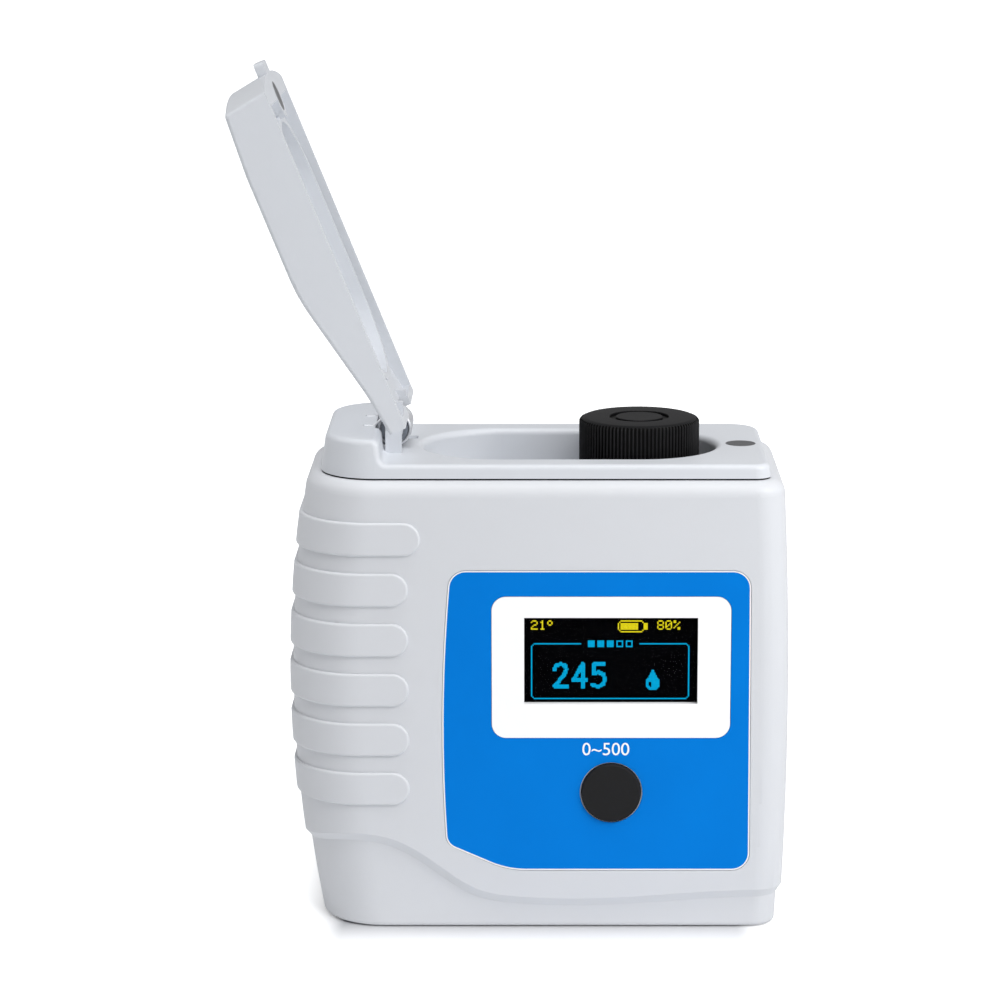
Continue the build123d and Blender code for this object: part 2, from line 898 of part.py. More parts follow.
# Torsion spring round its bush: its turns as one sleeve, its legs in the grooves of the block
def torsion_spring():
    end = spring_half + spring_wire
    spring = along_y(pivot_x, pivot_z, -end, end, spring_radius + spring_wire)
    spring -= along_y(pivot_x, pivot_z, -far, far, spring_radius - spring_wire)
    for y in (-spring_half, spring_half):
        spring += spring_leg_at(y)
    return spring


# Wire that leaves the turns, meets the top of the block and lies along it
def spring_leg_at(y):
    start = Vector(spring_radius, 0, 0).rotate(Axis.Y, -spring_leg_turn) + Vector(pivot_x, y, pivot_z)
    line = FilletPolyline(start, (spring_leg_foot_x, y, spring_leg_z),
                          (spring_leg_end_x, y, spring_leg_z), radius=spring_leg_bend)
    return sweep(Plane(origin=line @ 0, z_dir=line % 0) * Circle(spring_leg), path=line)


# Glass vial with a plain neck
def sample_vial():
    neck_bottom = vial_shoulder + vial_shoulder_height
    outer = [
        (0, vial_bottom),
        (vial_radius, vial_bottom),
        (vial_radius, vial_shoulder),
        (vial_neck_radius, neck_bottom),
        (vial_neck_radius, vial_top),
        (vial_neck_radius - vial_wall, vial_top),
        (vial_neck_radius - vial_wall, neck_bottom),
        (vial_radius - vial_wall, vial_shoulder),
        (vial_radius - vial_wall, vial_bottom + vial_wall),
        (0, vial_bottom + vial_wall),
    ]
    face = loop(outer)
    face = fillet(corner_near(face, vial_radius, vial_bottom), vial_base_radius)
    face = fillet(corner_near(face, vial_radius - vial_wall, vial_bottom + vial_wall), 0.8)
    vial = revolve(face, axis=Axis.Z)
    return Pos(vial_x, 0, 0) * vial


def vial_cap():
    cap = upright(vial_x, 0, cap_bottom, cap_top, cap_radius)
    cap = chamfer(cap.edges().group_by(Axis.Z)[-1], cap_chamfer)
    cap -= upright(vial_x, 0, cap_bottom - 1, liner_top, vial_neck_radius + thread_clearance)
    ring = upright(vial_x, 0, cap_top - cap_ring_depth, cap_top + 1, cap_ring_outer)
    ring -= upright(vial_x, 0, cap_top - cap_ring_depth - 1, cap_top + 2, cap_ring_inner)
    return cap - ring


def cap_liner():
    return upright(vial_x, 0, vial_top, liner_top, vial_neck_radius - 0.1)


# Black block that holds the vial between lamp and sensor, moulded in two halves
def chamber_body():
    block = box_between(chamber_left, chamber_right, -chamber_half, chamber_half,
                        chamber_bottom, well_under)
    block = fillet(block.edges().filter_by(Axis.Z), chamber_corner)
    block += upright(vial_x, 0, well_under, well_floor, collar_outer)
    block += along_x(0, optic_height, chamber_left - optic_boss_length, vial_x, optic_boss_radius)
    block += along_x(0, optic_height, vial_x, chamber_right + optic_boss_length, optic_boss_radius)
    for x, z in chamber_ear_places():
        inner = chamber_left + 1 if x < vial_x else chamber_right - 1
        x1, x2 = sorted((x, inner))
        ear = box_between(x1, x2, -chamber_half, ear_plate_thickness - chamber_half,
                          z - ear_plate_radius, z + ear_plate_radius)
        ear += along_y(x, z, -chamber_half, ear_plate_thickness - chamber_half, ear_plate_radius)
        block += ear
        block -= along_y(x, z, -chamber_half - 1, 0, small_screw_radius)
    block -= upright(vial_x, 0, vial_bottom, far, bore_radius)
    reach = chamber_half + optic_boss_length + 1
    block -= along_x(0, optic_height, vial_x - reach, vial_x + reach, emitter_radius)
    block -= along_x(0, optic_height, window_left(), vial_x - window_left() + vial_x, window_radius)
    return block


# Pegs of the rear half that press into the front half
def chamber_pegs():
    pegs = Part()
    for x in (chamber_left + peg_inset, chamber_right - peg_inset):
        for z in (peg_low_z, peg_high_z):
            pegs += along_y(x, z, -peg_length, 1, peg_radius)
    return pegs


def chamber_front():
    return (chamber_body() & before(0)) - chamber_pegs()


def chamber_rear():
    return (chamber_body() & behind(0)) + chamber_pegs()


def window_left():
    return vial_x - bore_radius - window_setback - window_thickness


def optic_window(side):
    outer = window_left() - vial_x
    x1, x2 = sorted((vial_x - side * outer, vial_x - side * (outer + window_thickness)))
    return along_x(0, optic_height, x1, x2, window_radius)


# Lamp and sensor share a round body with a domed nose
def optic_element(side):
    tail = chamber_half + optic_boss_length
    nose = tail - emitter_length
    x1, x2 = sorted((vial_x + side * nose, vial_x + side * tail))
    body = along_x(0, optic_height, x1, x2, emitter_radius)
    tip = vial_x + side * nose
    dome = Pos(tip, 0, optic_height) * Sphere(emitter_radius)
    beyond = sorted((tip, tip - side * emitter_radius))
    return body + (dome & box_between(beyond[0], beyond[1], -far, far, -far, far))


def optic_board(side):
    tail = chamber_half + optic_boss_length
    x1, x2 = sorted((vial_x + side * tail, vial_x + side * (tail + sensor_board_thickness)))
    half = sensor_board_size / 2
    return box_between(x1, x2, -half, half, optic_height - half, optic_height + half)


# Board behind the front wall
def main_board():
    board = box_between(board_left, board_right, board_front, board_back, board_bottom, board_top)
    for x, z in board_places():
        board -= along_y(x, z, board_front - 1, board_back + 1, small_screw_radius)
    for x, z in chamber_ear_places():
        board -= along_y(x, z, board_front - 1, board_back + 1, ear_plate_radius + 0.4)
    return board


def display_module():
    face = rounded_front(display_x, display_z, display_width + 2 * display_border,
                         display_height + 2 * display_border, 0.5)
    return plate(face, display_front_y, display_back_y)


def display_frame():
    width = display_width + 2 * display_border
    height = display_height + 2 * display_border
    face = rounded_front(display_x, display_z, width, height, 0.5)
    hole = rounded_front(display_x, display_z, width - 2 * display_frame_wall,
                         height - 2 * display_frame_wall, 0.5)
    return plate(face - hole, display_back_y, board_front)


def window_panel():
    return plate(panel_outline(0), panel_front_y, panel_back_y)


def front_label():
    face = label_outline(-label_clearance) - panel_outline(panel_clearance)
    label = plate(face, panel_front_y, recess_y)
    return label - along_y(button_x, button_z, -far, far, button_radius + 0.3)


def power_button():
    button = along_y(button_x, button_z, button_front_y, button_back_y, button_radius)
    button = fillet(button.edges().group_by(Axis.Y)[0], button_edge)
    button += along_y(button_x, button_z, inner_front_y, button_back_y,
                      button_radius + button_flange)
    stem_end = switch_front_y - button_travel - 0.05
    return button + along_y(button_x, button_z, button_back_y, stem_end, button_stem)


def button_switch():
    half = switch_size / 2
    return box_between(button_x - half, button_x + half, switch_front_y, board_front,
                       button_z - half, button_z + half)


def button_boot():
    outer = button_radius + button_flange - 0.4
    front = button_back_y + button_travel + 0.05
    ring = along_y(button_x, button_z, front, board_front, outer)
    return ring - along_y(button_x, button_z, front - 1, board_front + 1, outer - boot_wall)


# A cell on its side; its positive end points along the sign
def cell(sign, height):
    centre = cell_x + sign * cell_shift
    tip = centre + sign * cell_length / 2
    shoulder = tip - sign * cell_nub_length
    tail = centre - sign * cell_length / 2
    x1, x2 = sorted((tail, shoulder))
    body = along_x(cell_y, height, x1, x2, cell_radius)
    body = chamfer(body.edges().filter_by(GeomType.CIRCLE), cell_edge)
    n1, n2 = sorted((shoulder - sign, tip))
    return body + along_x(cell_y, height, n1, n2, cell_nub_radius)


def contact_plate(side, z1, z2):
    wall_x = tray_left if side < 0 else tray_right
    x1, x2 = sorted((wall_x, wall_x - side * contact_thickness))
    return box_between(x1, x2, cell_y - contact_width / 2, cell_y + contact_width / 2, z1, z2)


def contact_dimple(side, height):
    wall_x = tray_left if side < 0 else tray_right
    reach = cell_end_room - cell_shift
    x1, x2 = sorted((wall_x - side * contact_thickness / 2, wall_x - side * reach))
    return along_x(cell_y, height, x1, x2, dimple_radius)


# Bent leaf that reaches from the plate to the flat end of its cell
def contact_leaf(side, height):
    wall_x = tray_left if side < 0 else tray_right
    reach = cell_end_room + cell_shift - leaf_clearance
    hook = reach - leaf_hook
    strip = [
        (0, -leaf_foot),
        (contact_thickness, -leaf_foot),
        (reach, leaf_rise),
        (hook, leaf_tip),
        (hook - contact_thickness, leaf_tip - contact_thickness),
        (reach - leaf_bend, leaf_rise),
        (0, -leaf_foot + leaf_bend),
    ]
    face = loop([(wall_x - side * out, height + up) for out, up in strip])
    return plate(face, cell_y - contact_width / 2, cell_y + contact_width / 2)


def contact_bridge():
    bridge = contact_plate(-1, tray_bottom + 1, tray_top - 1)
    bridge += contact_dimple(-1, lower_cell_z)
    return bridge + contact_leaf(-1, upper_cell_z)


def contact_positive():
    half = cell_radius - 2
    return contact_plate(1, upper_cell_z - half, upper_cell_z + half) + contact_dimple(1, upper_cell_z)


def contact_negative():
    half = cell_radius - 2
    return contact_plate(1, lower_cell_z - half, lower_cell_z + half) + contact_leaf(1, lower_cell_z)


def battery_door(outer):
    door = outer & plate(door_outline(0), door_inner_y, far)
    head = along_y(door_tab_x, door_tab_z, door_screw_seat_y, far,
                   small_head_radius + door_screw_margin)
    shank = along_y(door_tab_x, door_tab_z, 0, far, small_screw_radius + door_screw_margin)
    return door - head - shank


def door_seal():
    x = (tray_left + tray_right) / 2
    z = (tray_bottom + tray_top) / 2
    width = tray_right - tray_left + 2 * door_seal_margin
    height = tray_top - tray_bottom + 2 * door_seal_margin
    outer = rounded_front(x, z, width, height, door_corner - 1)
    inner = offset(outer, -door_seal_width)
    return plate(outer - inner, ledge_y, door_inner_y)


# A screw along Y whose head seats at seat_y and whose tip points to the front
def screw(x, z, seat_y, length, radius, head_radius, head_height):
    head = along_y(x, z, seat_y, seat_y + head_height, head_radius)
    head = fillet(head.edges().group_by(Axis.Y)[-1], head_height * 0.3)
    head -= Pos(x, seat_y + head_height, z) * cross_slot(head_radius, head_height)
    return head + along_y(x, z, seat_y - length, seat_y, radius)


def cross_slot(head_radius, head_height):
    arm = head_radius * 1.1
    width = head_radius * 0.28
    return Box(arm, head_height, width) + Box(width, head_height, arm)


def write(name, shape):
    export_step(shape, "parts/" + name + ".step")


def build():
    os.makedirs("parts", exist_ok=True)
    outer = housing_outer()
    cavity = housing_cavity()
    write("body_shell", body_shell(outer, cavity))
    write("rear_cover", rear_cover(outer, cavity))
    write("top_cover", top_cover())
    write("top_gasket", top_gasket())
    write("lid", opened(lid_closed()))
    write("lid_magnet", opened(lid_magnet()))
    write("deck_magnet", deck_magnet())
    write("hinge_pin", hinge_pin())
    write("spring_bush", spring_bush())
    write("torsion_spring", torsion_spring())
    write("sample_vial", sample_vial())
    write("vial_cap", vial_cap())
    write("cap_liner", cap_liner())
    write("chamber_front", chamber_front())
    write("chamber_rear", chamber_rear())
    write("lamp_window", optic_window(-1))
    write("sensor_window", optic_window(1))
    write("lamp", optic_element(-1))
    write("sensor", optic_element(1))
    write("lamp_board", optic_board(-1))
    write("sensor_board", optic_board(1))
    write("main_board", main_board())
    write("display_module", display_module())
    write("display_frame", display_frame())
    write("window_panel", window_panel())
    write("front_label", front_label())
    write("power_button", power_button())
    write("button_switch", button_switch())
    write("button_boot", button_boot())
    write("cell_upper", cell(1, upper_cell_z))
    write("cell_lower", cell(-1, lower_cell_z))
    write("contact_bridge", contact_bridge())
    write("contact_positive", contact_positive())
    write("contact_negative", contact_negative())
    write("battery_door", battery_door(outer))
    write("door_seal", door_seal())
    write("door_screw", screw(door_tab_x, door_tab_z, door_screw_seat_y, small_screw_length,
                              small_screw_radius, small_head_radius, small_head_height))
    for name, x, z in screw_places():
        write("rear_screw_" + name, screw(x, z, screw_seat_y, screw_length, screw_radius,
                                          screw_head_radius, screw_head_height))
    for number, (x, z) in enumerate(board_places(), 1):
        write("board_screw_" + str(number), screw(x, z, board_back, board_screw_length + 1,
                                                  small_screw_radius, small_head_radius,
                                                  small_head_height))
    for number, (x, z) in enumerate(chamber_ear_places(), 1):
        seat = ear_plate_thickness - chamber_half
        write("chamber_screw_" + str(number), screw(x, z, seat, small_screw_length,
                                                    small_screw_radius, small_head_radius,
                                                    small_head_height))


build()
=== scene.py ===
import bmesh
import bpy
import math
from mathutils import Matrix, Vector


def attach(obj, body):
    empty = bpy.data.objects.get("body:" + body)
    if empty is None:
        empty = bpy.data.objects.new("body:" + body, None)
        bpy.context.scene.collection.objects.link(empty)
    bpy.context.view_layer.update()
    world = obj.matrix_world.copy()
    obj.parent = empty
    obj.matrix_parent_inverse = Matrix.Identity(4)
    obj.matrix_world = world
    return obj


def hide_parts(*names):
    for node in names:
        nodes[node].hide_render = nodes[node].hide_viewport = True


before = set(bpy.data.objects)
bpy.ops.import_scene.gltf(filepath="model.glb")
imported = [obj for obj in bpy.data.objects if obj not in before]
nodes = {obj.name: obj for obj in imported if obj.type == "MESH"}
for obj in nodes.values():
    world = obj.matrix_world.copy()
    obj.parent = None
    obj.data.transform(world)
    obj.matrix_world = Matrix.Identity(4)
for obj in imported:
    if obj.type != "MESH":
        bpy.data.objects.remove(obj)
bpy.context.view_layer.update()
scene = bpy.context.scene
scene.view_settings.view_transform = "Standard"
mm = 0.001
print("frame loaded with", len(nodes), "nodes")


# Small helpers

def tone(code):
    # linear colour from a six-digit screen colour
    parts = [int(code[i:i + 2], 16) / 255 for i in (0, 2, 4)]
    linear = [p / 12.92 if p <= 0.04045 else ((p + 0.055) / 1.055) ** 2.4 for p in parts]
    return (*linear, 1.0)


def shaded(colour, share):
    # a linear colour made darker or lighter
    return (*(min(1.0, part * share) for part in colour[:3]), 1.0)


def maths(operation, first, second=0.0):
    tree = first.tree if isinstance(first, Wire) else second.tree
    return tree.node("ShaderNodeMath", {"operation": operation}, {0: first, 1: second})


class Wire:
    # an output socket that plain arithmetic works on
    def __init__(self, tree, socket):
        self.tree = tree
        self.socket = socket

    def __add__(self, other):
        return maths("ADD", self, other)

    def __sub__(self, other):
        return maths("SUBTRACT", self, other)

    def __rsub__(self, other):
        return maths("SUBTRACT", other, self)

    def __mul__(self, other):
        return maths("MULTIPLY", self, other)

    def __truediv__(self, other):
        return maths("DIVIDE", self, other)

    def __gt__(self, other):
        return maths("GREATER_THAN", self, other)

    def __lt__(self, other):
        return maths("LESS_THAN", self, other)

    def __abs__(self):
        return maths("ABSOLUTE", self)

    __radd__ = __add__
    __rmul__ = __mul__


class Tree:
    # adds nodes to a node tree and joins them up
    def __init__(self, nodeTree):
        self.nodeTree = nodeTree

    def node(self, kind, settings=None, values=None, out=0):
        made = self.nodeTree.nodes.new(kind)
        for key, value in (settings or {}).items():
            setattr(made, key, value)
        for key, value in (values or {}).items():
            if isinstance(value, Wire):
                self.nodeTree.links.new(value.socket, made.inputs[key])
            else:
                made.inputs[key].default_value = value
        return Wire(self, made.outputs[out]) if made.outputs else made


class Finish(Tree):
    # one procedural material, in the piece's own metres
    spelled = {"baseColor": "Base Color", "specularLevel": "Specular IOR Level",
               "emissionColor": "Emission Color", "emissionStrength": "Emission Strength",
               "transmission": "Transmission Weight", "ior": "IOR"}

    def __init__(self, name):
        self.material = bpy.data.materials.new(name)
        self.material.use_nodes = True
        super().__init__(self.material.node_tree)
        self.nodeTree.nodes.clear()
        self.place = self.node("ShaderNodeTexCoord", out="Object")

    def axis(self, letter):
        return self.node("ShaderNodeSeparateXYZ", None, {0: self.place}, out=letter)

    def noise(self, size, detail=2.0, stretch=(1, 1, 1)):
        # size is one blotch in millimetres
        place = self.node("ShaderNodeMapping", None, {"Vector": self.place, "Scale": stretch})
        return self.node("ShaderNodeTexNoise", None,
                         {"Vector": place, "Scale": 1 / (size * mm), "Detail": detail})

    def blend(self, share, first, second):
        return self.node("ShaderNodeMix", {"data_type": "RGBA"}, {0: share, 6: first, 7: second}, out=2)

    def bump(self, height, depth):
        # depth in millimetres
        return self.node("ShaderNodeBump", None, {"Height": height, "Distance": depth * mm, "Strength": 1.0})

    def skin(self, **values):
        return self.node("ShaderNodeBsdfPrincipled", None,
                         {self.spelled.get(key, key.capitalize()): value for key, value in values.items()})

    def done(self, shader):
        self.node("ShaderNodeOutputMaterial", None, {"Surface": shader})
        return self.material


class Growth(Tree):
    # one Geometry Nodes tree with named inputs
    kinds = {float: "NodeSocketFloat", int: "NodeSocketInt", bpy.types.Object: "NodeSocketObject",
             bpy.types.Material: "NodeSocketMaterial"}

    def __init__(self, name, values):
        super().__init__(bpy.data.node_groups.new(name, "GeometryNodeTree"))
        self.values = values
        self.sockets = {}
        sides = self.nodeTree.interface
        sides.new_socket("Geometry", in_out="INPUT", socket_type="NodeSocketGeometry")
        for key, value in values.items():
            self.sockets[key] = sides.new_socket(key, in_out="INPUT", socket_type=self.kinds[type(value)])
        sides.new_socket("Geometry", in_out="OUTPUT", socket_type="NodeSocketGeometry")
        self.entry = self.nodeTree.nodes.new("NodeGroupInput")

    def given(self, name):
        return Wire(self, self.entry.outputs[name])

    def vector(self, x, y, z):
        return self.node("ShaderNodeCombineXYZ", None, {0: x, 1: y, 2: z})

    def join(self, *parts):
        made = self.nodeTree.nodes.new("GeometryNodeJoinGeometry")
        for part in parts:
            self.nodeTree.links.new(part.socket, made.inputs[0])
        return Wire(self, made.outputs[0])

    def grow(self, name, meshData, geometry, material):
        # runs the tree on a mesh and returns an object with the plain mesh that it makes
        whole = self.node("GeometryNodeRealizeInstances", None, {0: geometry})
        whole = self.node("GeometryNodeSetMaterial", None, {"Geometry": whole, "Material": material})
        self.node("NodeGroupOutput", None, {0: whole})
        piece = bpy.data.objects.new(name, meshData)
        scene.collection.objects.link(piece)
        modifier = piece.modifiers.new(name, "NODES")
        modifier.node_group = self.nodeTree
        for key, value in self.values.items():
            modifier[self.sockets[key].identifier] = value
        bpy.context.view_layer.update()
        seen = piece.evaluated_get(bpy.context.evaluated_depsgraph_get())
        plain = bpy.data.meshes.new_from_object(seen)
        piece.modifiers.remove(modifier)
        piece.data = plain
        plain.name = name
        return piece


def smooth(meshData, angle=35):
    meshData.shade_smooth()
    meshData.set_sharp_from_angle(angle=math.radians(angle))


def meshOf(name, verts, faces=(), edges=()):
    meshData = bpy.data.meshes.new(name)
    meshData.from_pydata([tuple(v) for v in verts], list(edges), [tuple(f) for f in faces])
    meshData.update()
    return meshData


def lathe(name, profile, segments, x):
    # turns a closed outline of (radius, height) in millimetres round an upright axis at x
    work = bmesh.new()
    rings = []
    for radius, height in profile:
        if radius == 0:
            rings.append([work.verts.new((x * mm, 0, height * mm))])
            continue
        turns = [2 * math.pi * step / segments for step in range(segments)]
        rings.append([work.verts.new(((x + radius * math.cos(t)) * mm, radius * math.sin(t) * mm,
                                      height * mm)) for t in turns])
    for low, high in zip(rings, rings[1:] + rings[:1]):
        if len(low) == 1 and len(high) == 1:
            continue
        for step in range(segments):
            following = (step + 1) % segments
            corners = [low[step % len(low)], low[following % len(low)],
                       high[following % len(high)], high[step % len(high)]]
            work.faces.new(list(dict.fromkeys(corners)))
    bmesh.ops.recalc_face_normals(work, faces=work.faces)
    meshData = bpy.data.meshes.new(name)
    work.to_mesh(meshData)
    work.free()
    smooth(meshData)
    return meshData


def addPiece(name, meshData, material):
    piece = bpy.data.objects.new(name, meshData)
    scene.collection.objects.link(piece)
    meshData.materials.clear()
    meshData.materials.append(material)
    return piece


def settle(piece, body, slotName, *replaced):
    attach(piece, body)
    if replaced:
        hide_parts(*replaced)


def dress(material, *names):
    for name in names:
        for place in nodes[name].material_slots:
            place.material = material


# Camera, floor and light

view = {"y": -649.5, "z": 223.64, "pitch": 12.13, "lens": 115.67, "sensor": 36, "shiftX": -0.0395,
        "clipEnd": 50}
camera = bpy.data.objects.new("camera", bpy.data.cameras.new("camera"))
scene.collection.objects.link(camera)
camera.location = (0, view["y"] * mm, view["z"] * mm)
camera.rotation_euler = (math.radians(90 - view["pitch"]), 0, 0)
camera.data.sensor_width = view["sensor"]
camera.data.lens = view["lens"]
camera.data.shift_x = view["shiftX"]
camera.data.clip_end = view["clipEnd"]
scene.camera = camera

# the floor's last three values give a painted contact shadow round the object's foot
floorLook = {"size": 30.0, "sunk": 0.2, "fibre": "F2F3F4", "albedo": "F4F5F6", "fibreSize": 0.9, "lift": 0.60,
             "shadowHalf": (40.0, 21.5), "shadowReach": (12.0, 42.0), "paintedShadowTone": "A9AAAE"}
worldLook = {"light": ("FDFDFF", 0.29), "mirrored": ("FFFFFF", 0.35), "seen": ("FFFFFF", 1.0)}
softboxes = {"box": {"energy": 0.5, "size": 0.16, "place": (0.25, -0.17, 0.25), "aim": (0.0, 0.0, 0.06)},
             "rim": {"energy": 0.10, "size": 0.1, "place": (-0.22, 0.0, 0.30), "aim": (-0.06, 0.0, 0.17)}}
suns = {"key": {"energy": 1.00, "angle": 22, "turn": (42, 0, 30)},
        "top": {"energy": 1.12, "angle": 25, "turn": (8, 0, 0)}}


def buildStage():
    look = floorLook
    half = look["size"] / 2
    plane = meshOf("floor", [(-half, -half, 0), (half, -half, 0), (half, half, 0), (-half, half, 0)],
                   [(0, 1, 2, 3)])
    finish = Finish("floorPaper")
    seen = finish.node("ShaderNodeLightPath", out="Is Camera Ray")
    # painted contact shadow: how clear a spot lies of the object's foot; nearer the foot, camera rays see the
    # floor painted darker and lose its lift
    away = [maths("MAXIMUM", (abs(finish.axis(letter)) - foot * mm) / (reach * mm), 0.0)
            for letter, foot, reach in zip("XY", look["shadowHalf"], look["shadowReach"])]
    clear = maths("MINIMUM", maths("SQRT", away[0] * away[0] + away[1] * away[1]), 1.0)
    clear = clear * (2 - clear)
    fibre = finish.blend(finish.noise(look["fibreSize"], 3.0), tone(look["fibre"]), tone(look["albedo"]))
    # painted shadow tone near the foot, seen by camera rays only
    paper = finish.skin(baseColor=finish.blend(1 - seen * (1 - clear), tone(look["paintedShadowTone"]), fibre),
                        roughness=0.9, specularLevel=0.0)
    lift = finish.node("ShaderNodeEmission", None, {"Color": tone("FFFFFF"), "Strength": look["lift"]})
    both = finish.node("ShaderNodeAddShader", None, {0: paper, 1: lift})
    floor = addPiece("floor", plane, finish.done(finish.node("ShaderNodeMixShader", None,
                                                             {0: seen * clear, 1: paper, 2: both})))
    floor.location.z = -look["sunk"] * mm


def buildWorld():
    world = bpy.data.worlds.new("studio")
    scene.world = world
    world.use_nodes = True
    tree = Tree(world.node_tree)
    tree.nodeTree.nodes.clear()
    seen, glossy, through = [tree.node("ShaderNodeLightPath", out=name)
                             for name in ("Is Camera Ray", "Is Glossy Ray", "Is Transmission Ray")]
    light, dim, white = [tree.node("ShaderNodeBackground", None, {"Color": tone(colour), "Strength": power})
                         for colour, power in (worldLook[key] for key in ("light", "mirrored", "seen"))]
    unseen = tree.node("ShaderNodeMixShader", None, {0: glossy, 1: light, 2: dim})
    direct = maths("MINIMUM", seen + through, 1.0)
    tree.node("ShaderNodeOutputWorld", None,
              {"Surface": tree.node("ShaderNodeMixShader", None, {0: direct, 1: unseen, 2: white})})


def addLamp(name, kind, energy):
    lamp = bpy.data.objects.new(name, bpy.data.lights.new(name, kind))
    lamp.data.energy = energy
    scene.collection.objects.link(lamp)
    return lamp


def addSoftbox(name, energy, size, place, aim):
    box = addLamp(name, "AREA", energy)
    box.data.size = size
    box.location = place
    box.rotation_euler = (Vector(aim) - Vector(place)).to_track_quat("-Z", "Y").to_euler()


def addSun(name, energy, angle, turn):
    sun = addLamp(name, "SUN", energy)
    sun.data.angle = math.radians(angle)
    sun.rotation_euler = [math.radians(t) for t in turn]
    sun.light_linking.blocker_collection = lidAlone


def shadeless(name):
    # a collection that a sun shines through, so that the open lid throws no shadow on the deck
    group = bpy.data.collections.new(name)
    group.objects.link(nodes[name])
    group.collection_objects[0].light_linking.link_state = "EXCLUDE"
    return group


buildStage()
buildWorld()
lidAlone = shadeless("lid")
for name, values in softboxes.items():
    addSoftbox(name, **values)
for name, values in suns.items():
    addSun(name, **values)
print("stage, world and lamps set")


# Materials of the pieces that come straight from the frame

plasticGrain = {"specks": 2.5, "speckShare": 0.6, "speckRough": 0.08, "cloudRough": 0.10}


def mouldedPlastic(name, look):
    # fine spark texture, faint flow clouds, a satin gloss
    finish = Finish(name)
    grain = finish.noise(look["grain"], 2.0)
    cloud = finish.noise(look["cloud"], 3.0)
    specks = finish.noise(look["grain"] * plasticGrain["specks"], 1.0)
    dark = tone(look["colour"])
    colour = finish.blend(cloud, dark, shaded(dark, look["lighter"]))
    rough = look["roughness"] + (cloud - 0.5) * plasticGrain["cloudRough"]
    rough += (specks - 0.5) * plasticGrain["speckRough"]
    relief = finish.bump(grain + specks * plasticGrain["speckShare"], look["relief"])
    return finish.done(finish.skin(baseColor=colour, roughness=rough, normal=relief,
                                   specularLevel=look["gloss"]))


housingLook = {"colour": "CFD1D5", "lighter": 1.03, "roughness": 0.46, "gloss": 0.42,
               "grain": 0.32, "cloud": 24.0, "relief": 0.010}
deckLook = {"colour": "CED1D6", "lighter": 1.03, "roughness": 0.40, "gloss": 0.45,
            "grain": 0.26, "cloud": 20.0, "relief": 0.006}
bushLook = {"colour": "6F747C", "lighter": 1.06, "roughness": 0.50, "gloss": 0.30,
            "grain": 0.22, "cloud": 4.0, "relief": 0.006}
blackLook = {"colour": "070708", "lighter": 1.4, "roughness": 0.44, "gloss": 0.16,
             "grain": 0.22, "cloud": 9.0, "relief": 0.008}
rubberLook = {"colour": "1E1E1F", "lighter": 1.20, "roughness": 0.62, "gloss": 0.11,
              "grain": 0.30, "cloud": 5.0, "relief": 0.012}
gasketLook = {"colour": "1A1A1B", "lighter": 1.15, "roughness": 0.75, "gloss": 0.25,
              "grain": 0.20, "cloud": 6.0, "relief": 0.010}
linerLook = {"colour": "E9E7DF", "lighter": 1.03, "roughness": 0.60, "gloss": 0.30,
             "grain": 0.35, "cloud": 6.0, "relief": 0.015}


metalGrain = {"patina": 7.0, "darker": 0.82, "lineRough": 0.22, "patinaRough": 0.10, "relief": 0.004}


def sheetMetal(name, colour, roughness, stretch, grain=0.25, metallic=1.0):
    # rolled or turned metal with fine lines along one axis
    finish = Finish(name)
    lines = finish.noise(grain, 3.0, stretch)
    patina = finish.noise(metalGrain["patina"], 3.0)
    shade = finish.blend(patina, tone(colour), shaded(tone(colour), metalGrain["darker"]))
    rough = roughness + (lines - 0.5) * metalGrain["lineRough"] + (patina - 0.5) * metalGrain["patinaRough"]
    return finish.done(finish.skin(baseColor=shade, metallic=metallic, roughness=rough,
                                   normal=finish.bump(lines, metalGrain["relief"])))


def clearGlass(name, colour, roughness, ior):
    # clear solid with a breath of haze
    finish = Finish(name)
    haze = finish.noise(6.0, 2.0)
    return finish.done(finish.skin(baseColor=tone(colour), roughness=roughness + haze * 0.02,
                                   transmission=1.0, ior=ior))


boardLook = {"mask": "0E5A33", "copper": "2C8A52", "pads": "C9B26A", "padPitch": 3.8, "padSize": 0.09,
             "trackPitch": 7.6, "trackWidth": 0.03, "trackSoft": 0.2, "relief": 0.02}


def circuitBoard(name):
    # green solder mask with tracks under it and bare pads
    finish = Finish(name)
    look = boardLook
    spread = finish.node("ShaderNodeTexVoronoi", {"distance": "CHEBYCHEV", "feature": "F1"},
                         {"Vector": finish.place, "Scale": 1 / (look["padPitch"] * mm)}, out="Distance")
    flat = finish.node("ShaderNodeMapping", None, {"Vector": finish.place, "Rotation": (math.pi / 2, 0, 0)})
    tracks = finish.node("ShaderNodeTexBrick", {"offset": 0.5},
                         {"Vector": flat, "Scale": 1 / (look["trackPitch"] * mm),
                          "Mortar Size": look["trackWidth"], "Mortar Smooth": look["trackSoft"]}, out="Fac")
    pads = spread < look["padSize"]
    colour = finish.blend(tracks, tone(look["mask"]), tone(look["copper"]))
    colour = finish.blend(pads, colour, tone(look["pads"]))
    return finish.done(finish.skin(baseColor=colour, metallic=pads * 0.8, roughness=0.42 - pads * 0.12,
                                   normal=finish.bump(tracks + pads, look["relief"])))


cellLook = {"wrap": "20262E", "band": "C77B2C", "metal": "B9BABD", "ink": "0A0A0A", "shoulder": 23.65,
            "tail": -24.9, "bandFrom": 13.05, "bandTo": 22.45, "patch": 1.4, "patchShare": 0.2}


